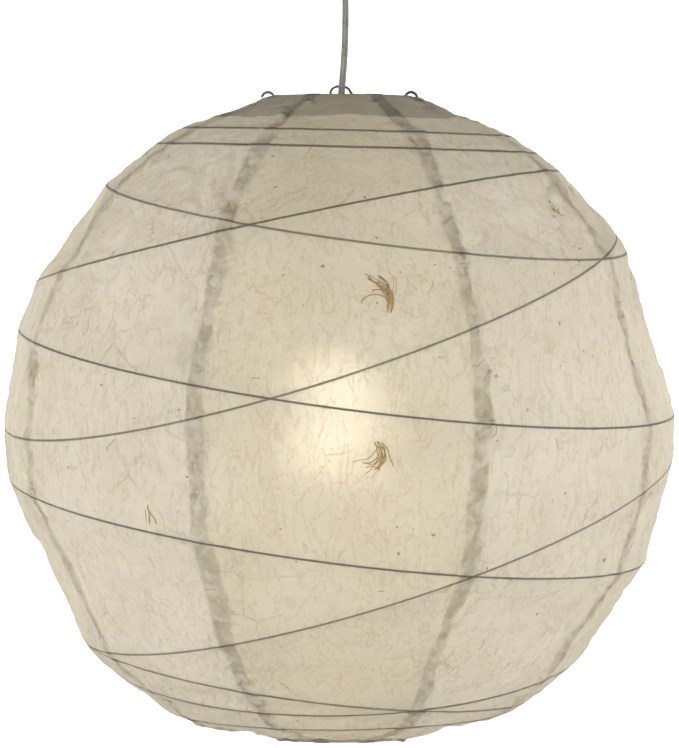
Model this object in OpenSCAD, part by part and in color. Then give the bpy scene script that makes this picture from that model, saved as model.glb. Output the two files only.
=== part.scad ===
// Accordion paper lantern: a collapsible paper globe on crossing wire ribs, held open by a
// spring-wire expander round a pendant lampholder, and hung on its cord from a ceiling cup.
// The origin is on the ceiling plane, on the globe's axis. +Z is up, so the lantern hangs below it.

/* [Paper globe] */
// Outer diameter of the open globe
globe_d = 450; // [445:5:460]
// Thickness of the paper shell
paper_t = 0.3; // [0.2:0.05:0.35]
// Number of paper gores round the globe
gore_count = 8; // [8]
// Gap between the edges of two gores
gore_gap = 0.1; // [0.05:0.05:0.3]

/* [Wire] */
// Diameter of the rib wire
rib_wire_d = 1.2; // [1:0.1:1.3]
// Diameter of the wire of the top and bottom rings
end_wire_d = 1.6; // [1.2:0.1:1.7]
// Diameter of the top ring, at the middle of its wire
top_ring_d = 96; // [94:1:100]
// Diameter of the bottom ring, at the middle of its wire
bottom_ring_d = 72; // [72:1:76]
// Depth of the bottom ring below the globe's middle
bottom_fall = 211; // [210:0.5:213]
// Diameter of the expander wire
expander_wire_d = 1.8; // [1.6:0.1:1.9]
// Distance between the two legs of the expander
leg_spacing = 65.6; // [65:0.1:66]
// Clearance between a wire and what it passes
wire_gap = 0.35; // [0.35:0.05:0.4]

/* [Ribs] */
// Distance of the upper collar rib's plane from the globe's middle
collar_top = 195; // [194:1:196]
// Distance between the two collar ribs
collar_step = 11; // [10:1:12]
// Tilt of the collar ribs
collar_tilt = 2; // [1.5:0.5:2.5]
// Distance of the uppermost even rib's plane from the globe's middle
even_top = 137; // [136:1:138]
// Distance between two even ribs
even_step = 100; // [99:1:101]
// Tilt of the even ribs
even_tilt = 10; // [9:1:11]
// Compass direction that the even ribs and the collar ribs lean to
even_lean = -42; // [-45:1:-39]
// Distance of the upper crossing rib's plane from the globe's middle
cross_top = 66; // [64:1:68]
// Distance between the two crossing ribs
cross_step = 150; // [148:1:152]
// Tilt of the crossing ribs
cross_tilt = 20; // [19:1:21]
// Compass direction that the crossing ribs lean to
cross_lean = -150; // [-153:1:-147]
// Distance of the shoulder rib's plane above the globe's middle
shoulder_rise = 134; // [132:1:136]
// Tilt of the shoulder rib
shoulder_tilt = 12; // [11:1:13]
// Compass direction that the shoulder rib leans to
shoulder_lean = 173; // [170:1:176]
// Distance of the hip rib's plane below the globe's middle
hip_fall = 152; // [150:1:154]
// Tilt of the hip rib
hip_tilt = 15; // [14:1:16]
// Compass direction that the hip rib and the lowest rib lean to
hip_lean = -95; // [-98:1:-92]
// Distance of the lowest rib's plane below the globe's middle
low_fall = 190; // [188:1:192]
// Tilt of the lowest rib
low_tilt = 5; // [4:1:6]

/* [Cord and ceiling fitting] */
// Distance from the ceiling down to the top ring
ceiling_drop = 120; // [120]
// Diameter of the supply cord
cord_d = 5; // [4.8:0.1:5.2]
// Sideways offset of the ceiling fitting, which lets the cord bow a little
cup_x = 4; // [4]
// Outer diameter of the ceiling cup at its rim
cup_d = 80; // [78:1:90]
// Height of the ceiling cup
cup_h = 38; // [36:1:40]
// Wall of the ceiling cup
cup_wall = 1.6; // [1.2:0.1:2]
// Diameter of the ceiling plate
plate_d = 70; // [68:1:72]
// Thickness of the ceiling plate
plate_t = 2.5; // [2:0.5:2.5]
// Distance between the plate's two screw holes
screw_spacing = 50; // [48:1:52]
// Diameter of each screw hole
screw_hole_d = 4.5; // [4:0.1:5]

/* [Lampholder and bulb] */
// Outer diameter of the lampholder
holder_d = 39; // [38:1:40]
// Diameter of the bulb's glass
bulb_d = 60; // [55:1:60]
// Height of the bulb's middle above the globe's middle
bulb_rise = -5; // [-8:1:0]
// Diameter of the bulb's screw cap
bulb_cap_d = 26.4; // [26:0.1:26.5]

/* [Hidden] */

$fn = 48;
fine = 96;

globe_r = globe_d / 2;
// Sphere that the middle of an end ring's wire lies on, just under the paper
end_layer_r = globe_r - paper_t - wire_gap - end_wire_d / 2;
top_ring_r = top_ring_d / 2;
bottom_ring_r = bottom_ring_d / 2;
top_ring_rise = sqrt(pow(end_layer_r, 2) - pow(top_ring_r, 2));
// Latitude below which the paper runs straight in to the bottom ring
neck_lat = -64;
// Height of the globe's middle
globe_z = -ceiling_drop - top_ring_rise;

// Rows of a family of parallel ribs, one for each of its layers: distance of the rib's plane from the
// globe's middle, tilt, compass direction of the lean, and layer. Layer 0 is the outermost, and ribs
// that cross lie in different layers.
function rib_family(top, step, tilt, lean, layers) =
  [for (i = [0 : len(layers) - 1]) [top - i * step, tilt, lean, layers[i]]];
RIBS = concat(
  rib_family(collar_top, collar_step, collar_tilt, even_lean, [0, 0]),
  rib_family(even_top, even_step, even_tilt, even_lean, [3, 0, 0, 1]),
  rib_family(cross_top, cross_step, cross_tilt, cross_lean, [2, 2]),
  rib_family(shoulder_rise, 0, shoulder_tilt, shoulder_lean, [0]),
  rib_family(-hip_fall, 0, hip_tilt, hip_lean, [0]),
  rib_family(-low_fall, 0, low_tilt, hip_lean, [0])
);
layer_step = rib_wire_d + wire_gap;

// Middle line of the cord, from the terminal block down to the lampholder
CORD_ROUTE = [
  [4, 0, -17], [4, 0, -30], [4, 0, -42], [4, 0, -54], [4, 0, -66], [3.8, 0, -78], [3.4, 0, -88],
  [2.8, 0, -98], [2, 0, -108], [1.2, 0, -118], [0.6, 0, -128], [0.2, 0, -139], [0, 0, -151],
  [0, 0, -163], [0, 0, -176], [0, 0, -189], [0, 0, -202], [0, 0, -215], [0, 0, -228],
  [0, 0, -241], [0, 0, -254]
];

// Ceiling fitting
cable_entry_d = 10;
cable_entry_y = 20;
terminal_size = [24, 12, 14];
terminal_reach = 7;
terminal_screw_d = 3.2;
terminal_hole_d = 3.6;
terminal_screw_z = -plate_t - 8;
cup_corner_r = 12;
cup_mouth_r = 7.5;
bush_fit = 0.2;
bush_flange = 6;
cord_slack_r = 3.3;
grip_hole_r = 1.4;
grip_screw_z = -cup_h - 3;

// Heights in the lampholder, measured from the globe's middle
holder_bottom = 38;
skirt_top = 66;
cap_top = 98;
grip_top = 110;
cap_rim = 33;
cap_shoulder = 58;
cap_cone_top = 61;
insulator_z = 60.6;
contact_z = 63;

// Radii and walls in the lampholder
grip_r = 8;
grip_neck_r = 5;
grip_collar = 5;
cap_round_r = 12;
cap_wall = 1.8;
cap_hole_r = 4.5;
seam = 0.2;
skirt_wall = 3;
thread_depth = 1.4;
thread_length = 12;
shell_r = 14.4;
shell_wall = 0.8;
bulb_cap_wall = 0.7;

// Unit vector along v
function unit(v) = v / norm(v);
// Direction of path p at point i
function heading(p, i) = unit(p[min(i + 1, len(p) - 1)] - p[max(i - 1, 0)]);
// Sideways directions carried along path p without twisting
function sides_along(p, i = 0, last = [0, 1, 0]) =
  i == len(p) ? [] :
  let (t = heading(p, i), here = unit(last - (last * t) * t))
  concat([here], sides_along(p, i + 1, here));

// Round wire or cord swept along path p
module tube(p, d, sides = 8) {
  side = sides_along(p);
  count = len(p);
  points = [
    for (i = [0 : count - 1], k = [0 : sides - 1])
      let (a = 360 * k / sides, t = heading(p, i))
      p[i] + d / 2 * (cos(a) * side[i] + sin(a) * cross(t, side[i]))
  ];
  walls = [
    for (i = [0 : count - 2], k = [0 : sides - 1])
      let (a = i * sides + k, b = i * sides + (k + 1) % sides)
      for (f = [[a, a + sides, b], [b, a + sides, b + sides]]) f
  ];
  start_cap = [for (k = [0 : sides - 1]) k];
  end_cap = [for (k = [sides - 1 : -1 : 0]) (count - 1) * sides + k];
  polyhedron(points = points, faces = concat(walls, [start_cap], [end_cap]));
}

// Points of an arc in the XZ plane
function arc_xz(x, z, r, from, to, steps) =
  [for (i = [0 : steps]) let (a = from + (to - from) * i / steps) [x + r * cos(a), 0, z + r * sin(a)]];

// Plain wire hoop in the XY plane
module hoop(r, wire_d) {
  rotate_extrude($fn = fine) translate([r, 0]) circle(d = wire_d, $fn = 24);
}

// Tube along Z
module pipe(r_out, r_in, z_low, z_high) {
  difference() {
    translate([0, 0, z_low]) cylinder(r = r_out, h = z_high - z_low);
    translate([0, 0, z_low - 1]) cylinder(r = r_in, h = z_high - z_low + 2);
  }
}

// Puts its children at the globe's middle
module at_globe() {
  translate([0, 0, globe_z]) children();
}

// ---- Ceiling fitting ----

module ceiling_plate() {
  color("silver")
  translate([cup_x, 0, 0])
  difference() {
    translate([0, 0, -plate_t]) cylinder(d = plate_d, h = plate_t);
    for (side = [-1, 1])
      translate([side * screw_spacing / 2, 0, -plate_t - 1])
        cylinder(d = screw_hole_d, h = plate_t + 2);
    translate([0, cable_entry_y, -plate_t - 1]) cylinder(d = cable_entry_d, h = plate_t + 2);
  }
}

module terminal_block() {
  color("white")
  difference() {
    translate([cup_x - terminal_size[0] / 2, -terminal_size[1] / 2, -plate_t - terminal_size[2]])
      cube(terminal_size);
    for (side = [-1, 1])
      translate([cup_x + side * terminal_reach, -terminal_size[1] / 2 - 1, terminal_screw_z])
        rotate([-90, 0, 0]) cylinder(d = terminal_hole_d, h = 5);
  }
}

module terminal_screws() {
  head_y = -terminal_size[1] / 2 - 0.2;
  color("goldenrod")
  for (side = [-1, 1])
    translate([cup_x + side * terminal_reach, head_y, terminal_screw_z])
    difference() {
      rotate([-90, 0, 0]) cylinder(d = terminal_screw_d, h = 4);
      translate([-2, -0.1, -0.3]) cube([4, 0.7, 0.6]);
    }
}

// Quarter-round corner of the cup, from the floor out to the side, at radius r of the rounding
function cup_corner(r, from, to) =
  let (middle_r = cup_d / 2 - 18, step = sign(to - from) * 15)
  [for (a = [from : step : to]) [middle_r + r * cos(a), -cup_h + cup_corner_r + r * sin(a)]];

module ceiling_cup() {
  rim_r = cup_d / 2;
  lip = 3;
  top_z = -0.5;
  color("white")
  translate([cup_x, 0, 0])
  rotate_extrude($fn = fine)
  polygon(concat(
    [[cup_mouth_r, -cup_h]],
    cup_corner(cup_corner_r, -90, 0),
    [[rim_r, -lip], [rim_r, top_z], [rim_r - cup_wall, top_z]],
    cup_corner(cup_corner_r - cup_wall, 0, -90),
    [[cup_mouth_r, -cup_h + cup_wall]]
  ));
}

module cord_bush() {
  color("white")
  translate([cup_x, 0, 0])
  difference() {
    union() {
      translate([0, 0, -cup_h]) cylinder(r = cup_mouth_r - bush_fit, h = 5);
      translate([0, 0, -cup_h - bush_flange]) cylinder(r1 = 6, r2 = cup_mouth_r + 1, h = bush_flange);
    }
    translate([0, 0, -cup_h - bush_flange - 1]) cylinder(r = cord_slack_r, h = 14);
    translate([3, 0, grip_screw_z]) rotate([0, 90, 0]) cylinder(r = grip_hole_r, h = 8);
  }
}

module grip_screw() {
  shank = 4.6;
  head = 1.6;
  color("white")
  translate([cup_x + cord_slack_r + 0.3, 0, grip_screw_z])
  rotate([0, 90, 0])
  difference() {
    union() {
      cylinder(r = grip_hole_r - 0.2, h = shank);
      translate([0, 0, shank]) cylinder(r = 2.2, h = head);
    }
    translate([-3, -0.3, shank + 1]) cube([6, 0.6, 1]);
  }
}

module supply_cord() {
  color("gray") tube(CORD_ROUTE, cord_d);
}

// ---- Wire frame ----

module top_ring() {
  color("dimgray") translate([0, 0, -ceiling_drop]) hoop(top_ring_r, end_wire_d);
}

module bottom_ring() {
  color("dimgray") at_globe() translate([0, 0, -bottom_fall]) hoop(bottom_ring_r, end_wire_d);
}

// Open wire loop that sits on the expander's bar and holds the cord
module cord_hook() {
  end_x = 6.4;
  loop_middle = [0.6, 1.4, -ceiling_drop + 4];
  loop_size = [6.6, 3.6, 4.4];
  route = concat(
    [[-end_x, 0, -ceiling_drop - 9], [-end_x, 0.6, -ceiling_drop - 2]],
    [for (a = [170 : -20 : 10])
      loop_middle + [loop_size[0] * cos(a), loop_size[1] * sin(a), loop_size[2] * sin(a)]],
    [[8.6, 0.8, -ceiling_drop + 2.4]]
  );
  color("dimgray") tube(route, expander_wire_d);
}

// One wire: foot, leg, double hump hooked over the top ring, bar across the opening, then the same
// again on the other side
module expander() {
  hump_r = 4.2;
  strand_y = 1.6;
  foot_reach = 3;
  bar_bow = 3.6;
  leg_x = leg_spacing / 2;
  ring_z = -ceiling_drop;
  bar_z = ring_z - 5;
  foot_z = globe_z - bottom_fall + end_wire_d / 2 + wire_gap + expander_wire_d / 2;
  leg = concat(
    [[bottom_ring_r + foot_reach, 0, foot_z], [bottom_ring_r, 0, foot_z], [leg_x + 1.6, 0, foot_z + 0.8],
     [leg_x + 0.3, 0, foot_z + 3]],
    [for (z = [foot_z + 10 : 60 : ring_z - 60]) [leg_x, 0, z]],
    [[leg_x, 0, ring_z - 44], [leg_x + 1.5, -0.4, ring_z - 34],
     [top_ring_r - hump_r - 1, -strand_y, ring_z - 8]]
  );
  hump_out = [for (p = arc_xz(top_ring_r, ring_z, hump_r, 180, 40, 6)) p - [0, strand_y, 0]];
  hump_back = [for (p = arc_xz(top_ring_r, ring_z, hump_r, 40, 180, 6)) p + [0, strand_y, 0]];
  hump_end = [top_ring_r + hump_r * cos(20), 0, ring_z + hump_r * sin(20)];
  bar_half = [
    [top_ring_r - hump_r - 0.3, strand_y, ring_z - 3], [top_ring_r - hump_r - 2, strand_y, bar_z],
    for (x = [32 : -8 : 8]) [x, strand_y + bar_bow * pow(cos(x * 2.5), 2), bar_z]
  ];
  half = concat(leg, hump_out, [hump_end], hump_back, bar_half, [[0, strand_y + bar_bow, bar_z]]);
  other = [for (i = [len(half) - 2 : -1 : 0]) [-half[i][0], half[i][1], half[i][2]]];
  color("dimgray") tube(concat(half, other), expander_wire_d);
}

// Rib number i, a flat hoop tilted to lean the way its row says
module rib(i) {
  row = RIBS[i - 1];
  layer_r = globe_r - paper_t - wire_gap - rib_wire_d / 2 - row[3] * layer_step;
  color("dimgray")
  at_globe()
  rotate([0, row[1], row[2]])
  translate([0, 0, row[0]])
  hoop(sqrt(pow(layer_r, 2) - pow(row[0], 2)), rib_wire_d);
}

// ---- Lampholder and bulb ----

module holder_grip() {
  collar_z = cap_top + grip_collar;
  color("black")
  at_globe()
  difference() {
    union() {
      translate([0, 0, cap_top]) cylinder(r = grip_r, h = grip_collar);
      translate([0, 0, collar_z]) cylinder(r1 = grip_r, r2 = grip_neck_r, h = grip_top - collar_z);
    }
    translate([0, 0, cap_top - 1]) cylinder(d = cord_d + 0.4, h = grip_top - cap_top + 2);
  }
}

module holder_cap() {
  cap_r = holder_d / 2;
  round_x = cap_r - cap_round_r;
  round_z = cap_top - cap_round_r;
  inner_r = cap_round_r - cap_wall;
  color("black")
  at_globe()
  rotate_extrude($fn = fine)
  polygon(concat(
    [[cap_r, skirt_top + seam]],
    [for (a = [0 : 15 : 75]) [round_x + cap_round_r * cos(a), round_z + cap_round_r * sin(a)]],
    [[cap_hole_r, cap_top], [cap_hole_r, cap_top - cap_wall]],
    [for (a = [75 : -15 : 0]) [round_x + inner_r * cos(a), round_z + inner_r * sin(a)]],
    [[cap_r - cap_wall, skirt_top + seam]]
  ));
}

module holder_insert() {
  color("white") at_globe() translate([0, 0, skirt_top + 0.5]) cylinder(r = 15, h = 9);
}

module holder_skirt() {
  skirt_r = holder_d / 2;
  thread_top = holder_bottom + thread_length;
  color("black")
  at_globe()
  union() {
    pipe(skirt_r, skirt_r - skirt_wall, thread_top, skirt_top);
    pipe(skirt_r - thread_depth, skirt_r - skirt_wall, holder_bottom, thread_top);
  }
}

module shade_ring() {
  hole_r = holder_d / 2 - thread_depth + 0.3;
  flange_r = 24;
  hub_r = 21;
  color("black")
  at_globe()
  union() {
    pipe(flange_r, hole_r, holder_bottom + 1, holder_bottom + 4);
    pipe(hub_r, hole_r, holder_bottom + 4, holder_bottom + 10);
  }
}

module screw_shell() {
  color("goldenrod") at_globe() pipe(shell_r, shell_r - shell_wall, holder_bottom + 3, skirt_top);
}

module centre_contact() {
  color("goldenrod")
  at_globe()
  union() {
    translate([0, 0, skirt_top - 0.6]) cylinder(r = 4, h = 1);
    translate([0, 0, skirt_top - 1.6]) cylinder(r = 2, h = 1);
  }
}

module bulb_glass() {
  glass_r = bulb_d / 2;
  neck_r = bulb_cap_d / 2 - 0.8;
  neck_top = cap_rim + 3;
  wall = 1;
  blend = 40;
  // Outline of a glass of ball radius r and neck radius n, which leave each other at angle blend
  function outline(r, n) = concat(
    [for (a = [-90 : 10 : blend]) [r * cos(a), bulb_rise + r * sin(a)]],
    [[(r * cos(blend) + n) / 2 + 0.6, 24], [n + 0.6, 29], [n, cap_rim - 0.5], [n, neck_top]]
  );
  inner = outline(glass_r - wall, neck_r - wall);
  color("white")
  at_globe()
  rotate_extrude($fn = fine)
  polygon(concat(outline(glass_r, neck_r), [for (i = [len(inner) - 1 : -1 : 0]) inner[i]]));
}

module bulb_cap() {
  cap_r = bulb_cap_d / 2;
  cone_h = cap_cone_top - cap_shoulder;
  color("silver")
  at_globe()
  union() {
    pipe(cap_r, cap_r - bulb_cap_wall, cap_rim, cap_shoulder);
    translate([0, 0, cap_shoulder]) difference() {
      cylinder(r1 = cap_r, r2 = 8, h = cone_h);
      translate([0, 0, -0.1]) cylinder(r1 = cap_r - bulb_cap_wall, r2 = 7, h = cone_h + 0.2);
    }
  }
}

module bulb_insulator() {
  color("black") at_globe() translate([0, 0, insulator_z]) cylinder(r1 = 6.8, r2 = 5, h = 2.4);
}

module bulb_contact() {
  color("silver") at_globe() translate([0, 0, contact_z]) cylinder(r1 = 4.5, r2 = 3, h = 1.2);
}

// ---- Paper ----

// Gore number i, an upright strip of the globe's shell
module gore(i) {
  inner_r = globe_r - paper_t;
  top_lat = acos(top_ring_r / globe_r);
  hem_z = -bottom_fall - end_wire_d / 2 - wire_gap;
  steps = 28;
  gap_angle = gore_gap / globe_r * 180 / PI;
  outer = [
    for (s = [0 : steps])
      let (lat = neck_lat + (top_lat - neck_lat) * s / steps) [globe_r * cos(lat), globe_r * sin(lat)]
  ];
  inner = [for (s = [steps : -1 : 0]) outer[s] * inner_r / globe_r];
  color("ivory")
  at_globe()
  rotate([0, 0, -90 + (i - 1.5) * 360 / gore_count + gap_angle / 2])
  rotate_extrude(angle = 360 / gore_count - gap_angle, $fn = fine)
  polygon(concat([[bottom_ring_r, hem_z - paper_t]], outer, inner, [[bottom_ring_r, hem_z]]));
}

ceiling_plate();
terminal_block();
terminal_screws();
ceiling_cup();
cord_bush();
grip_screw();
supply_cord();
top_ring();
cord_hook();
expander();
holder_grip();
holder_cap();
holder_insert();
holder_skirt();
screw_shell();
centre_contact();
shade_ring();
bulb_glass();
bulb_cap();
bulb_insulator();
bulb_contact();
rib(1);  // rib_01
rib(2);  // rib_02
rib(3);  // rib_03
rib(4);  // rib_04
rib(5);  // rib_05
rib(6);  // rib_06
rib(7);  // rib_07
rib(8);  // rib_08
rib(9);  // rib_09
rib(10);  // rib_10
rib(11);  // rib_11
bottom_ring();
gore(1);  // gore_1
gore(2);  // gore_2
gore(3);  // gore_3
gore(4);  // gore_4
gore(5);  // gore_5
gore(6);  // gore_6
gore(7);  // gore_7
gore(8);  // gore_8
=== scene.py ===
import math

import bpy
import numpy as np
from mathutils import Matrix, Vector


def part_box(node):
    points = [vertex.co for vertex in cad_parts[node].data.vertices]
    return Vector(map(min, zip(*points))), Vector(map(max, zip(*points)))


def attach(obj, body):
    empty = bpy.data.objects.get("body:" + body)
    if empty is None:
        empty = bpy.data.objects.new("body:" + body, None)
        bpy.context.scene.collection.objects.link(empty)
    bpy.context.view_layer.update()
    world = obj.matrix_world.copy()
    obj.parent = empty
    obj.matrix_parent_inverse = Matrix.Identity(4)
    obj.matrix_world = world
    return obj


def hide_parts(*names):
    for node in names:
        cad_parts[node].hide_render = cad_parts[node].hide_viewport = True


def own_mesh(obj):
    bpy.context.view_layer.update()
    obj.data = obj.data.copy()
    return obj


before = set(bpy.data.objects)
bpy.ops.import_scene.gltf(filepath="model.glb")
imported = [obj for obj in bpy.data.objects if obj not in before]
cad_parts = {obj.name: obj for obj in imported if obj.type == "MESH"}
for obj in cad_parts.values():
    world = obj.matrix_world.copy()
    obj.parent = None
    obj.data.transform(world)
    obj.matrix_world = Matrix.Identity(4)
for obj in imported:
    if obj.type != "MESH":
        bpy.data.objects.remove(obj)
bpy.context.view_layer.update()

MM = 0.001
rng = np.random.default_rng(7)

# ---- Driving sizes, worked out from the frame ----

ring_low, ring_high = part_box("top_ring")
foot_low, foot_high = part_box("bottom_ring")
END_WIRE = ring_high.z - ring_low.z
TOP_RING_R = (ring_high.x - ring_low.x - END_WIRE) / 2
BOTTOM_RING_R = (foot_high.x - foot_low.x - END_WIRE) / 2
TOP_RING_Z = (ring_low.z + ring_high.z) / 2
GLOBE_R = 0.225
PAPER_R = GLOBE_R - 0.4 * MM
# Depth below the globe's surface at which the middle of the end rings' wire lies
END_RING_DEPTH = 1.45 * MM
GLOBE_Z = TOP_RING_Z - math.sqrt((GLOBE_R - END_RING_DEPTH) ** 2 - TOP_RING_R ** 2)
GLOBE = Vector((0, 0, GLOBE_Z))
GORES = 8
GORE_ANGLE = 2 * math.pi / GORES
FRONT = -math.pi / 2


# ---- Camera, first of all ----

def make_camera():
    """Level, a little above the globe's middle and twenty globe radii in front of it."""
    data = bpy.data.cameras.new("camera")
    data.sensor_fit = "HORIZONTAL"
    data.sensor_width = 36
    data.lens = 355.6
    data.clip_end = 60
    camera = bpy.data.objects.new("camera", data)
    bpy.context.scene.collection.objects.link(camera)
    camera.location = (0, -20 * GLOBE_R, GLOBE_Z + 33.4 * MM)
    camera.rotation_euler = (math.pi / 2, 0, 0)
    bpy.context.scene.camera = camera


make_camera()


# ---- Mesh helpers ----

def new_object(name, verts, faces, materials=(), smooth=True):
    mesh = bpy.data.meshes.new(name)
    mesh.from_pydata([tuple(v) for v in verts], [], faces)
    mesh.update()
    if smooth:
        mesh.shade_smooth()
    for material in materials:
        mesh.materials.append(material)
    obj = bpy.data.objects.new(name, mesh)
    bpy.context.scene.collection.objects.link(obj)
    return obj


def smooth_path(points, step):
    """Points every step along a Catmull-Rom curve through the given points."""
    p = np.array(points, float)
    p = np.vstack([2 * p[0] - p[1], p, 2 * p[-1] - p[-2]])
    out = []
    for i in range(1, len(p) - 2):
        count = max(2, int(np.linalg.norm(p[i + 1] - p[i]) / step))
        for t in np.arange(count) / count:
            a = 2 * p[i]
            b = p[i + 1] - p[i - 1]
            c = 2 * p[i - 1] - 5 * p[i] + 4 * p[i + 1] - p[i + 2]
            d = -p[i - 1] + 3 * p[i] - 3 * p[i + 1] + p[i + 2]
            out.append(0.5 * (a + b * t + c * t ** 2 + d * t ** 3))
    out.append(p[-2])
    return np.array(out)


def sweep(path, section, turn=0.0):
    """Vertices and faces of a closed section swept along path, turning by turn radians in all."""
    verts, faces = [], []
    side = np.array((1.0, 0, 0))
    count = len(section)
    for i, point in enumerate(path):
        ahead = path[min(i + 1, len(path) - 1)] - path[max(i - 1, 0)]
        ahead /= np.linalg.norm(ahead)
        side = side - side @ ahead * ahead
        side /= np.linalg.norm(side)
        other = np.cross(ahead, side)
        a = turn * i / (len(path) - 1)
        for u, v in section:
            uu = u * math.cos(a) - v * math.sin(a)
            vv = u * math.sin(a) + v * math.cos(a)
            verts.append(point + uu * side + vv * other)
    for i in range(len(path) - 1):
        for k in range(count):
            n = (k + 1) % count
            faces.append((i * count + k, i * count + n, (i + 1) * count + n, (i + 1) * count + k))
    faces.append(tuple(range(count - 1, -1, -1)))
    faces.append(tuple((len(path) - 1) * count + k for k in range(count)))
    return verts, faces


def ring_points(profile, around):
    """One ring of points round Z for each radius and height of a profile."""
    turns = np.arange(around) * 2 * math.pi / around
    return [(r * math.cos(a), r * math.sin(a), z) for r, z in profile for a in turns]


# ---- Material helpers ----

def new_material(name):
    material = bpy.data.materials.new(name)
    material.use_nodes = True
    tree = material.node_tree
    tree.nodes.clear()
    output = tree.nodes.new("ShaderNodeOutputMaterial")
    return material, tree, output


def add(tree, kind, **settings):
    node = tree.nodes.new(kind)
    for key, value in settings.items():
        if key in node.inputs:
            node.inputs[key].default_value = value
        else:
            setattr(node, key, value)
    return node


def math_node(tree, operation, a, b=None, clamp=False):
    node = tree.nodes.new("ShaderNodeMath")
    node.operation = operation
    node.use_clamp = clamp
    for slot, value in zip(node.inputs, (a, b)):
        if value is None:
            continue
        if isinstance(value, (int, float)):
            slot.default_value = value
        else:
            tree.links.new(value, slot)
    return node.outputs[0]


def ramp(tree, source, stops):
    node = tree.nodes.new("ShaderNodeValToRGB")
    tree.links.new(source, node.inputs[0])
    while len(node.color_ramp.elements) < len(stops):
        node.color_ramp.elements.new(0.5)
    for element, (position, colour) in zip(node.color_ramp.elements, stops):
        element.position = position
        element.color = (*colour, 1) if hasattr(colour, "__len__") else (colour,) * 3 + (1,)
    return node.outputs[0]


def noise_node(tree, coords, scale, detail=4, roughness=0.55, distortion=0.0):
    node = tree.nodes.new("ShaderNodeTexNoise")
    node.inputs["Scale"].default_value = scale
    node.inputs["Detail"].default_value = detail
    node.inputs["Roughness"].default_value = roughness
    node.inputs["Distortion"].default_value = distortion
    if coords is not None:
        tree.links.new(coords, node.inputs["Vector"])
    return node.outputs[0]


def mix_colour(tree, factor, a, b, mode="MIX"):
    node = tree.nodes.new("ShaderNodeMix")
    node.data_type = "RGBA"
    node.blend_type = mode
    for slot, value in ((node.inputs[0], factor), (node.inputs[6], a), (node.inputs[7], b)):
        if isinstance(value, (int, float)):
            slot.default_value = value
        elif isinstance(value, tuple):
            slot.default_value = (*value, 1)
        else:
            tree.links.new(value, slot)
    return node.outputs[2]


def bump(tree, height, strength, distance, normal=None):
    node = tree.nodes.new("ShaderNodeBump")
    node.inputs["Strength"].default_value = strength
    node.inputs["Distance"].default_value = distance
    tree.links.new(height, node.inputs["Height"])
    if normal is not None:
        tree.links.new(normal, node.inputs["Normal"])
    return node.outputs[0]


def hard_material(name, dark, light, roughness, metallic=0.0, scale=60.0, bump_mm=0.03, **sockets):
    """A moulded or drawn material: mottled colour, uneven gloss and a fine surface."""
    material, tree, output = new_material(name)
    coords = tree.nodes.new("ShaderNodeTexCoord").outputs["Object"]
    cloud = noise_node(tree, coords, scale, 5)
    fine = noise_node(tree, coords, scale * 14, 3)
    shader = tree.nodes.new("ShaderNodeBsdfPrincipled")
    tree.links.new(ramp(tree, cloud, [(0.3, dark), (0.7, light)]), shader.inputs["Base Color"])
    rough = math_node(tree, "MULTIPLY_ADD", cloud, 0.25)
    rough.node.inputs[2].default_value = roughness - 0.12
    tree.links.new(rough, shader.inputs["Roughness"])
    tree.links.new(bump(tree, fine, 0.5, bump_mm * MM), shader.inputs["Normal"])
    shader.inputs["Metallic"].default_value = metallic
    for key, value in sockets.items():
        shader.inputs[key].default_value = value
    tree.links.new(shader.outputs[0], output.inputs[0])
    return material


# ---- Ribs: where each one runs, read from the frame ----

def rib_plane(name):
    """Unit normal of a rib's plane, and the sine of its height on the globe."""
    co = np.array([v.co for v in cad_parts[name].data.vertices], float)
    centre = co.mean(0)
    _, _, axes = np.linalg.svd(co - centre, full_matrices=False)
    normal = axes[2] * (1 if axes[2][2] > 0 else -1)
    from_middle = centre - np.array(GLOBE)
    distance = from_middle @ normal
    radius = np.linalg.norm(co - centre, axis=1).mean()
    return normal, distance / math.hypot(distance, radius)


RIB_NAMES = sorted(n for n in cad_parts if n.startswith("rib_"))
RIB_PLANES = [rib_plane(n) for n in RIB_NAMES]
TOP_LAT = math.acos(TOP_RING_R / PAPER_R)


def rib_latitudes(az):
    """Latitudes at which the ribs cross azimuth az, an array, one row for each rib."""
    rows = []
    for normal, sine in RIB_PLANES:
        a = normal[0] * np.cos(az) + normal[1] * np.sin(az)
        b = normal[2]
        rows.append(np.arctan2(b, a) - np.arccos(np.clip(sine / np.hypot(a, b), -1, 1)))
    return np.array(rows)


# ---- Paper ----

GRID_STEP = 2.2 * MM
SEAM_REACH = 20 * MM
RIB_FADE = 7 * MM
SLACK_REACH = 30 * MM
SLACK = 0.5 * MM
LAP_LIFT = 0.35 * MM
PAPER_PROUD = 0.8 * MM
HEM_Z = foot_low.z - GLOBE_Z - 0.3 * MM
HEM_LAT = math.atan2(HEM_Z, BOTTOM_RING_R)
HEM_RADIUS = math.hypot(HEM_Z, BOTTOM_RING_R)


def lattice_noise(points, seed):
    """Smooth noise from -1 to 1 at an array of points."""
    cell = np.floor(points).astype(np.int64)
    part = points - cell
    part = part * part * (3 - 2 * part)
    total = np.zeros(points.shape[:-1])
    for corner in np.ndindex(2, 2, 2):
        x, y, z = np.moveaxis(cell + corner, -1, 0)
        mixed = (x * 73856093) ^ (y * 19349663) ^ (z * 83492791) ^ (seed * 5915587277)
        mixed = (mixed ^ (mixed >> 13)) * 1274126177
        value = ((mixed ^ (mixed >> 16)) & 0xFFFF) / 32767.5 - 1
        total += value * np.prod(np.where(np.array(corner) == 1, part, 1 - part), axis=-1)
    return total


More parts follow.
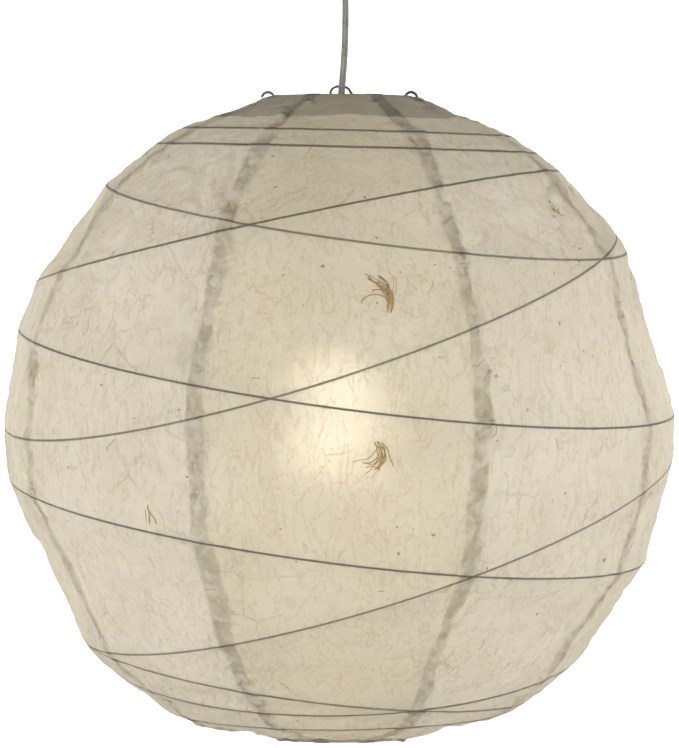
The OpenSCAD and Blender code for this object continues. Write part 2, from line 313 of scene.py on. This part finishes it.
def crumple(direction, seed):
    """Sharp-edged folds at three sizes, in metres, at directions from the globe's middle."""
    warped = direction + 0.035 * lattice_noise(direction * 9, seed + 5)[..., None]
    tall = warped * np.array((1, 1, 0.6))
    folds = 1.5 * np.abs(lattice_noise(tall * 11, seed))
    folds += 0.8 * np.abs(lattice_noise(warped * 24, seed + 1))
    folds += 0.35 * np.abs(lattice_noise(warped * 50, seed + 2))
    return MM * (folds - 0.9)


def paper_radius(az, lat):
    """Distance of the paper from the globe's middle, straight from rib to rib, and from the nearest rib."""
    ribs = np.sort(rib_latitudes(az), axis=0)
    knots = np.concatenate([np.full((1, *az.shape), HEM_LAT), ribs, np.full((1, *az.shape), TOP_LAT)])
    span = np.clip((knots <= lat).sum(axis=0) - 1, 0, len(knots) - 2)
    low = np.take_along_axis(knots, span[None], axis=0)[0]
    high = np.take_along_axis(knots, span[None] + 1, axis=0)[0]
    r_low = np.where(span == 0, HEM_RADIUS, PAPER_R)
    width = np.maximum(high - low, 1e-4)
    at = np.clip(lat - low, 0, width)
    chord = r_low * PAPER_R * np.sin(width) / (PAPER_R * np.sin(width - at) + r_low * np.sin(at))
    return chord, np.minimum(at, width - at) * PAPER_R


def seam_azimuth(k, lat):
    """Azimuth of the seam before gore k, which wanders a little on its way down."""
    base = FRONT + (k - 0.5) * GORE_ANGLE
    lean = math.radians(-0.4 if k % 2 else -3.7)
    return base + lean + math.radians(0.7) * np.sin(3 * lat + 1.7 * k)


def overlap_width(k, lat):
    """Width of the glued overlap before gore k."""
    wave = 2.2 * np.sin(5 * lat + 2.1 * k) + 1.5 * np.sin(13 * lat + k) + 1.2 * np.sin(37 * lat + 2 * k)
    return MM * (11 + wave + 0.8 * np.sin(71 * lat + 3 * k))


# How yellow the sheet of each gore is, from the front one round; the front gore's full value is also
# painted warm light from the bulb behind it
YELLOWING_AND_GLOW = (1.0, 0.1, 0.25, 0.0, 0.6, 0.2, 0.35, 0.0)


def make_gore(index, material):
    """One gore: a strip that starts under its neighbour and ends glued over the next one."""
    rows = int((TOP_LAT - HEM_LAT) * PAPER_R / GRID_STEP)
    columns = int(GORE_ANGLE * PAPER_R / GRID_STEP) + 8
    k = index - 1
    lat_line = np.linspace(HEM_LAT, TOP_LAT, rows)
    parallel = PAPER_R * np.maximum(np.cos(lat_line), 0.2)
    start = seam_azimuth(k, lat_line)
    end = seam_azimuth(k + 1, lat_line) + overlap_width(k + 1, lat_line) / parallel
    share = np.linspace(0, 1, columns)[None, :]
    az = start[:, None] + (end - start)[:, None] * share
    lat = np.repeat(lat_line[:, None], columns, axis=1)
    direction = np.stack([np.cos(lat) * np.cos(az), np.cos(lat) * np.sin(az), np.sin(lat)], axis=-1)
    chord, near = paper_radius(az, lat)
    from_start = (az - start[:, None]) * parallel[:, None]
    from_end = (end[:, None] - az) * parallel[:, None]
    lap_start = overlap_width(k, lat)
    lap_end = overlap_width(k + 1, lat)
    lap = np.maximum(
        np.clip((lap_start - from_start) / MM + 0.5, 0, 1), np.clip((lap_end - from_end) / MM + 0.5, 0, 1)
    )
    by_seam = np.exp(-((np.minimum(from_start, from_end) / SEAM_REACH) ** 2))
    smoothness = 0.4 if index == 1 else 0.85
    patch = 0.45 + 0.75 * (1 + lattice_noise(direction * 4.5, 31))
    fade = np.clip(near / RIB_FADE, 0, 1)
    slack = -SLACK * np.clip(near / SLACK_REACH, 0, 1)
    on_top = np.clip((lap_end - from_end) / (2 * MM) + 1, 0, 1)
    folds = crumple(direction, 11) * (1.5 * smoothness * patch + 1.8 * by_seam)
    radius = chord + fade * (slack + folds) + LAP_LIFT * on_top
    radius = np.minimum(radius, PAPER_R + PAPER_PROUD)
    verts = (np.array(GLOBE) + direction * radius[..., None]).reshape(-1, 3)
    first = (np.arange(rows - 1)[:, None] * columns + np.arange(columns - 1)).ravel()
    faces = np.stack([first, first + 1, first + columns + 1, first + columns], axis=1)
    gore = new_object(f"paper_gore_{index}", verts, faces.tolist(), [material])
    store = gore.data.attributes.new("rest_direction", "FLOAT_VECTOR", "POINT")
    store.data.foreach_set("vector", direction.astype(np.float32).ravel())
    store = gore.data.attributes.new("overlap", "FLOAT", "POINT")
    store.data.foreach_set("value", lap.astype(np.float32).ravel())
    store = gore.data.attributes.new("yellowing_and_glow", "FLOAT", "POINT")
    store.data.foreach_set("value", np.full(rows * columns, YELLOWING_AND_GLOW[k], np.float32))
    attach(gore, "frame")
    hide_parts(f"gore_{index}")
    return gore


# Sines of the latitudes beyond which the paper is hemmed round the end rings; the colour there is darkened
# as painted shade
TOP_HEM_SHADE = math.sin(math.radians(67))
BOTTOM_HEM_SHADE = -math.sin(math.radians(77))


def crease_network(tree, coords, scale, thin):
    """Thin lines where flat facets of crumpled paper meet, strong in some places and faint in others; the
    paper colour paints shade along them, and its bump follows them too.
    """
    shift = noise_node(tree, coords, scale * 1.7, 3, 0.6)
    moved = add(tree, "ShaderNodeVectorMath", operation="ADD")
    spread = math_node(tree, "MULTIPLY", shift, 1.1 / scale)
    tree.links.new(coords, moved.inputs[0])
    tree.links.new(spread, moved.inputs[1])
    cells = add(tree, "ShaderNodeTexVoronoi", feature="DISTANCE_TO_EDGE", Scale=scale)
    tree.links.new(moved.outputs[0], cells.inputs["Vector"])
    edge = ramp(tree, cells.outputs["Distance"], [(0.0, 1.0), (thin, 0.0)])
    share = ramp(tree, noise_node(tree, coords, scale * 0.6, 2, 0.5), [(0.42, 0.0), (0.7, 1.0)])
    return math_node(tree, "MULTIPLY", edge, share)


def paper_material():
    """Rice paper, lit from inside: pulp, specks, glued seams with glue stains, painted shade along the
    creases with a faint painted highlight, painted light on the doubled seams, painted shade over the hems,
    the sheets' yellowing with painted warm light on the front gore, and a painted shadow line over each
    rib.
    """
    material, tree, output = new_material("rice_paper")
    coords = add(tree, "ShaderNodeAttribute", attribute_name="rest_direction").outputs["Vector"]
    lap = add(tree, "ShaderNodeAttribute", attribute_name="overlap").outputs["Fac"]
    cloud = noise_node(tree, coords, 3.2, 4, 0.5)
    pulp = noise_node(tree, coords, 70, 6, 0.7, 0.5)
    speck = noise_node(tree, coords, 38, 2, 0.4)
    stretched = add(tree, "ShaderNodeMapping")
    stretched.inputs["Scale"].default_value = (9, 9, 3.2)
    tree.links.new(coords, stretched.inputs["Vector"])
    crease = noise_node(tree, stretched.outputs[0], 2.2, 5, 0.6, 0.8)
    crease_shade_line = ramp(tree, crease, [(0.0, 0.0), (0.475, 0.0), (0.5, 1.0), (0.525, 0.0)])
    cross_crease = noise_node(tree, coords, 17, 4, 0.62, 1.4)
    crease_highlight_line = ramp(tree, cross_crease, [(0.0, 0.0), (0.48, 0.0), (0.5, 1.0), (0.52, 0.0)])
    crease_shade_net = crease_network(tree, coords, 8.5, 0.03)
    fine_crease_shade_net = crease_network(tree, coords, 24, 0.05)
    sheet_tones = [(0.3, (0.80, 0.77, 0.69)), (0.55, (0.85, 0.825, 0.755)), (0.75, (0.89, 0.87, 0.82))]
    colour = ramp(tree, cloud, sheet_tones)
    # Multiplies in each gore's yellowing, which on the front gore is also painted warm light from the bulb
    yellowing_and_glow = add(tree, "ShaderNodeAttribute", attribute_name="yellowing_and_glow").outputs["Fac"]
    colour = mix_colour(tree, yellowing_and_glow, colour, (0.985, 0.97, 0.915), "MULTIPLY")
    pulp_tone = ramp(tree, pulp, [(0.3, 0.88), (0.7, 1.0)])
    colour = mix_colour(tree, 0.8, colour, pulp_tone, "MULTIPLY")
    speck_mask = ramp(tree, speck, [(0.0, 0.0), (0.74, 0.0), (0.78, 0.8)])
    colour = mix_colour(tree, speck_mask, colour, (0.30, 0.22, 0.11))
    # Painted shade along the long creases and the crease network, with a faint painted highlight along the
    # cross creases
    colour = mix_colour(tree, math_node(tree, "MULTIPLY", crease_shade_line, 0.34), colour, (0.5, 0.42, 0.28))
    colour = mix_colour(tree, math_node(tree, "MULTIPLY", crease_highlight_line, 0.12), colour, (0.97, 0.93, 0.86))
    colour = mix_colour(tree, math_node(tree, "MULTIPLY", crease_shade_net, 0.55), colour, (0.52, 0.45, 0.33))
    glue = noise_node(tree, coords, 17, 4, 0.6, 1.2)
    # Painted light: the glued overlaps are lightened to make up for the shade of the doubled paper
    colour = mix_colour(tree, math_node(tree, "MULTIPLY", lap, 0.45), colour, (0.97, 0.935, 0.86))
    glue_share = math_node(tree, "MULTIPLY", lap, ramp(tree, glue, [(0.42, 0.40), (0.58, 0.05)]))
    colour = mix_colour(tree, glue_share, colour, (0.52, 0.43, 0.28))
    # Painted shade along the creases inside the glued overlaps
    seam_crease_shade = math_node(tree, "MULTIPLY", lap, fine_crease_shade_net)
    colour = mix_colour(tree, math_node(tree, "MULTIPLY", seam_crease_shade, 0.6), colour, (0.32, 0.26, 0.18))
    height_share = add(tree, "ShaderNodeSeparateXYZ")
    tree.links.new(coords, height_share.inputs[0])
    up = height_share.outputs["Z"]
    # Painted shade over the hems round the end rings
    hem_shade = math_node(tree, "MAXIMUM", math_node(tree, "GREATER_THAN", up, TOP_HEM_SHADE),
                    math_node(tree, "LESS_THAN", up, BOTTOM_HEM_SHADE))
    colour = mix_colour(tree, math_node(tree, "MULTIPLY", hem_shade, 0.65), colour, (0.33, 0.31, 0.27))
    # Painted shadow of the rib wires: a dark line wherever a rib's plane meets the paper
    rib_shadow = None
    for normal, sine in RIB_PLANES:
        dot = add(tree, "ShaderNodeVectorMath", operation="DOT_PRODUCT")
        dot.inputs[1].default_value = normal
        tree.links.new(coords, dot.inputs[0])
        off = math_node(tree, "SUBTRACT", dot.outputs["Value"], float(sine))
        near = math_node(tree, "MULTIPLY", math_node(tree, "ABSOLUTE", off), PAPER_R / MM)
        here = math_node(tree, "SUBTRACT", 1.0, near, clamp=True)
        rib_shadow = here if rib_shadow is None else math_node(tree, "MAXIMUM", rib_shadow, here)
    rib_shadow_mask = ramp(tree, rib_shadow, [(0.0, 0.0), (0.25, 0.2), (0.6, 0.68)])
    colour = mix_colour(tree, rib_shadow_mask, colour, (0.13, 0.09, 0.05))
    height = math_node(tree, "ADD", pulp, math_node(tree, "MULTIPLY", crease_shade_line, 0.8))
    height = math_node(tree, "ADD", height, math_node(tree, "MULTIPLY", seam_crease_shade, 4.0))
    height = math_node(tree, "ADD", height, math_node(tree, "MULTIPLY", crease_shade_net, 2.5))
    height = math_node(tree, "ADD", height, math_node(tree, "MULTIPLY", crease_highlight_line, 0.8))
    normal = bump(tree, height, 0.45, 0.3 * MM)
    front = tree.nodes.new("ShaderNodeBsdfPrincipled")
    tree.links.new(colour, front.inputs["Base Color"])
    tree.links.new(normal, front.inputs["Normal"])
    front.inputs["Roughness"].default_value = 0.35
    front.inputs["IOR"].default_value = 1.25
    front.inputs["Specular IOR Level"].default_value = 0.12
    front.inputs["Transmission Weight"].default_value = 0.03
    back = tree.nodes.new("ShaderNodeBsdfTranslucent")
    tree.links.new(colour, back.inputs["Color"])
    tree.links.new(normal, back.inputs["Normal"])
    through = tree.nodes.new("ShaderNodeMixShader")
    through.inputs[0].default_value = 0.5
    tree.links.new(front.outputs[0], through.inputs[1])
    tree.links.new(back.outputs[0], through.inputs[2])
    tree.links.new(through.outputs[0], output.inputs[0])
    return material


def globe_point(az, lat, proud):
    """A point proud metres outside the paper at azimuth az from the front and latitude lat, in radians."""
    a = np.array([[FRONT + az]])
    chord, _ = paper_radius(a, np.array([[lat]]))
    reach = float(chord[0, 0]) + proud
    turn = a[0, 0]
    return np.array((math.cos(lat) * math.cos(turn), math.cos(lat) * math.sin(turn), math.sin(lat))) * reach


def strand(az, lat, length, heading, thick, curl=0.0):
    """Vertices and faces of one strand centred on a place on the paper, turning by curl at each step."""
    steps = 14
    reach = length / steps / PAPER_R
    along = np.array((math.cos(heading) / math.cos(lat), math.sin(heading)))
    here = np.array((az, lat)) - along * reach * steps / 2
    path = []
    curl += rng.normal(0, 0.03)
    for _ in range(steps + 1):
        path.append(np.array(GLOBE) + globe_point(here[0], here[1], 0.8 * MM))
        heading += curl + rng.normal(0, 0.16)
        here = here + reach * np.array((math.cos(heading) / math.cos(here[1]), math.sin(heading)))
    section = [(thick * math.cos(a), thick * math.sin(a)) for a in np.radians(range(0, 360, 60))]
    return sweep(np.array(path), section)


def make_fibres():
    """Strands of bark caught in the paper: a few tangles and many single hairs."""
    # Azimuth and latitude in degrees, length in mm, strands, slope in degrees, curl in radians a step
    tangles = [
        (10, 23, 34, 14, 70, 0.14), (8, -5, 26, 12, -60, -0.1), (-35, -15, 15, 3, -80, 0.05),
        (56, 39, 16, 3, -60, 0.05), (-120, 10, 22, 6, 30, 0.1), (150, -20, 20, 6, -40, -0.12),
        (100, 25, 16, 5, 70, 0.08),
    ]
    verts, faces = [], []

    def put(part):
        faces.extend(tuple(i + len(verts) for i in face) for face in part[1])
        verts.extend(part[0])

    for az, lat, length, strands, slope, curl in tangles:
        for _ in range(strands):
            heading = math.radians(slope + rng.uniform(-9, 9))
            across = np.array((math.sin(heading), -math.cos(heading)))
            place = np.radians((az, lat)) + rng.normal(0, 0.011) * across
            reach = length * MM * rng.uniform(0.5, 1.0)
            put(strand(*place, reach, heading, rng.uniform(0.2, 0.42) * MM, curl))
    for _ in range(40):
        place = np.radians((rng.uniform(-180, 180), rng.uniform(-50, 52)))
        put(strand(*place, rng.uniform(3, 12) * MM, rng.uniform(-1.6, 1.6), rng.uniform(0.12, 0.25) * MM))
    fibres = new_object("bark_fibres", verts, faces, [FIBRE])
    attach(fibres, "frame")
    return fibres


PAPER = paper_material()
FIBRE = hard_material("plant_fibre", (0.34, 0.21, 0.07), (0.60, 0.42, 0.19), 0.7, scale=300)
SQUASHED = [make_gore(number, PAPER) for number in range(1, GORES + 1)]
SQUASHED.append(make_fibres())


# ---- Supply cord: two clear cores side by side ----

CORD_ROUTE = [
    (4, 0, -17), (4, 0, -30), (4, 0, -42), (4, 0, -54), (4, 0, -66), (3.8, 0, -78), (3.4, 0, -88),
    (2.8, 0, -98), (2, 0, -108), (1.2, 0, -118), (0.6, 0, -128), (0.2, 0, -139), (0, 0, -151),
    (0, 0, -163), (0, 0, -176), (0, 0, -189), (0, 0, -202), (0, 0, -215), (0, 0, -228),
    (0, 0, -241), (0, 0, -254),
]
CORD_D = 5 * MM


def clear_pvc():
    material = hard_material("clear_pvc", (0.17, 0.155, 0.13), (0.31, 0.285, 0.25), 0.28, scale=90)
    shader = next(n for n in material.node_tree.nodes if n.type == "BSDF_PRINCIPLED")
    shader.inputs["Transmission Weight"].default_value = 0.12
    shader.inputs["Coat Weight"].default_value = 0.3
    return material


def make_cord():
    route = smooth_path([[x * MM for x in p] for p in reversed(CORD_ROUTE)], 3 * MM)
    core_r = CORD_D / 4
    section = []
    for centre, first in ((core_r, -150), (-core_r, 30)):
        for i in range(11):
            a = math.radians(first + 30 * i)
            section.append((centre + core_r * math.cos(a), core_r * math.sin(a)))
    turn = math.radians(50)
    verts, faces = sweep(route, section, turn)
    sheath = new_object("cord_sheath", verts, faces, [clear_pvc()])
    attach(sheath, "frame")
    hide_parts("supply_cord")
    return sheath


make_cord()


# ---- Materials of the CAD nodes ----

WIRE = hard_material("rib_wire", (0.10, 0.085, 0.07), (0.2, 0.18, 0.155), 0.5, metallic=0.6, scale=90)
FRAME_WIRE = hard_material("frame_wire", (0.16, 0.16, 0.16), (0.3, 0.3, 0.3), 0.38, metallic=0.9, scale=90)
WHITE = hard_material("white_moulding", (0.78, 0.78, 0.75), (0.85, 0.85, 0.83), 0.4, scale=30)
ZINC = hard_material("zinc_plate", (0.5, 0.51, 0.53), (0.68, 0.69, 0.7), 0.35, metallic=1.0, scale=70)
BRASS = hard_material("brass", (0.6, 0.42, 0.16), (0.75, 0.58, 0.27), 0.3, metallic=1.0, scale=80)
NICKEL = hard_material("nickel", (0.55, 0.54, 0.52), (0.72, 0.71, 0.69), 0.25, metallic=1.0, scale=80)
HOLDER = hard_material("holder_moulding", (0.74, 0.73, 0.69), (0.82, 0.81, 0.77), 0.42, scale=35)
CERAMIC = hard_material("glazed_ceramic", (0.82, 0.81, 0.78), (0.88, 0.87, 0.85), 0.2, scale=40)


def glowing_glass():
    """Frosted bulb glass, lit."""
    material, tree, output = new_material("lit_frosted_glass")
    coords = tree.nodes.new("ShaderNodeTexCoord").outputs["Object"]
    frost = noise_node(tree, coords, 400, 3)
    shader = tree.nodes.new("ShaderNodeBsdfPrincipled")
    frost_tone = ramp(tree, frost, [(0.3, (0.93, 0.91, 0.86)), (0.7, (0.98, 0.97, 0.94))])
    tree.links.new(frost_tone, shader.inputs["Base Color"])
    tree.links.new(bump(tree, frost, 0.3, 0.05 * MM), shader.inputs["Normal"])
    shader.inputs["Roughness"].default_value = 0.4
    shader.inputs["Emission Color"].default_value = (1.0, 0.87, 0.64, 1)
    shader.inputs["Emission Strength"].default_value = 12.5
    shader.inputs["Alpha"].default_value = 0.8
    tree.links.new(shader.outputs[0], output.inputs[0])
    return material


def make_diffuser():
    """The small bright dome inside the frosted glass."""
    material, tree, output = new_material("lit_diffuser")
    coords = tree.nodes.new("ShaderNodeTexCoord").outputs["Object"]
    shader = tree.nodes.new("ShaderNodeBsdfPrincipled")
    mottle = noise_node(tree, coords, 500, 3)
    mottle_tone = ramp(tree, mottle, [(0.3, (0.94, 0.93, 0.88)), (0.7, (1.0, 1.0, 0.97))])
    tree.links.new(mottle_tone, shader.inputs["Base Color"])
    shader.inputs["Roughness"].default_value = 0.5
    shader.inputs["Emission Color"].default_value = (1.0, 0.97, 0.9, 1)
    shader.inputs["Emission Strength"].default_value = 300.0
    tree.links.new(shader.outputs[0], output.inputs[0])
    low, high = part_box("bulb_glass")
    foot = high.z - 8 * MM
    top = low.z + 22 * MM
    dome_r, neck_r = 11 * MM, 8 * MM
    profile = [(0, foot), (neck_r, foot), (neck_r, top + 12 * MM)]
    for a in np.radians(range(0, 90, 12)):
        profile.append((dome_r * math.cos(a), top + dome_r - dome_r * math.sin(a)))
    profile.append((0, top))
    rings = [(r, z) for r, z in profile if r > 0]
    around = 32
    verts = ring_points(rings, around)
    verts += [(0, 0, foot), (0, 0, top)]
    faces = []
    for i in range(len(rings) - 1):
        for k in range(around):
            n = (k + 1) % around
            faces.append((i * around + k, (i + 1) * around + k, (i + 1) * around + n, i * around + n))
    last = (len(rings) - 1) * around
    faces += [(len(verts) - 2, k, (k + 1) % around) for k in range(around)]
    faces += [(len(verts) - 1, last + (k + 1) % around, last + k) for k in range(around)]
    dome = new_object("bulb_diffuser", verts, faces, [material])
    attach(dome, "frame")


make_diffuser()


NODE_MATERIALS = {
    "ceiling_plate": ZINC, "terminal_block": WHITE, "terminal_screws": BRASS, "ceiling_cup": WHITE,
    "cord_bush": WHITE, "grip_screw": WHITE, "top_ring": FRAME_WIRE, "bottom_ring": FRAME_WIRE,
    "cord_hook": FRAME_WIRE, "expander": FRAME_WIRE, "holder_grip": HOLDER, "holder_cap": HOLDER,
    "holder_insert": CERAMIC, "holder_skirt": HOLDER, "screw_shell": BRASS, "centre_contact": BRASS,
    "shade_ring": HOLDER, "bulb_glass": glowing_glass(), "bulb_cap": NICKEL, "bulb_insulator": CERAMIC,
    "bulb_contact": NICKEL,
}
for rib in RIB_NAMES:
    NODE_MATERIALS[rib] = WIRE
for node_name, node_material in NODE_MATERIALS.items():
    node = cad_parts[node_name]
    node.data.materials.clear()
    node.data.materials.append(node_material)


# ---- Paper and fibres get meshes of their own ----

for piece in SQUASHED:
    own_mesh(piece)


# ---- Stage and light ----

def plain_material(name, shade, glow):
    material, tree, output = new_material(name)
    shader = tree.nodes.new("ShaderNodeBsdfPrincipled")
    shader.inputs["Base Color"].default_value = (shade, shade, shade, 1)
    shader.inputs["Roughness"].default_value = 0.9
    shader.inputs["Emission Color"].default_value = (1, 1, 1, 1)
    shader.inputs["Emission Strength"].default_value = glow
    tree.links.new(shader.outputs[0], output.inputs[0])
    return material


def make_stage():
    """A pale round floor that curves up into a bright wall all the way round."""
    wall_r, cove, floor_z, wall_top = 6.0, 1.2, GLOBE_Z - 0.8, GLOBE_Z + 2.0
    profile = [(0.01, floor_z), (wall_r - cove, floor_z)]
    profile += [
        (wall_r - cove + cove * math.sin(a), floor_z + cove - cove * math.cos(a))
        for a in np.radians(np.arange(15, 91, 15))
    ]
    profile.append((wall_r, wall_top))
    around = 72
    verts = ring_points(profile, around)
    faces = []
    for i in range(len(profile) - 1):
        for k in range(around):
            n = (k + 1) % around
            faces.append((i * around + k, i * around + n, (i + 1) * around + n, (i + 1) * around + k))
    materials = [plain_material("pale_floor", 0.7, 0.0), plain_material("bright_wall", 0.9, 0.85)]
    stage = new_object("studio_stage", verts, faces, materials)
    for i, polygon in enumerate(stage.data.polygons):
        polygon.material_index = 1 if i >= around else 0


def area_light(name, location, size, power, colour):
    data = bpy.data.lights.new(name, "AREA")
    data.size = size
    data.energy = power
    data.color = colour
    light = bpy.data.objects.new(name, data)
    bpy.context.scene.collection.objects.link(light)
    light.location = location
    light.rotation_euler = (GLOBE - Vector(location)).to_track_quat("-Z", "Y").to_euler()


make_stage()
area_light("left", (-2.6, -1.2, GLOBE_Z - 0.2), 1.2, 19, (1.0, 0.99, 0.98))
area_light("right", (2.6, -1.2, GLOBE_Z - 0.2), 1.2, 19, (1.0, 0.99, 0.98))
world = bpy.data.worlds.new("studio")
world.use_nodes = True
world.node_tree.nodes["Background"].inputs[0].default_value = (1, 1, 1, 1)
world.node_tree.nodes["Background"].inputs[1].default_value = 0.12
bpy.context.scene.world = world
bpy.context.scene.view_settings.view_transform = "Standard"
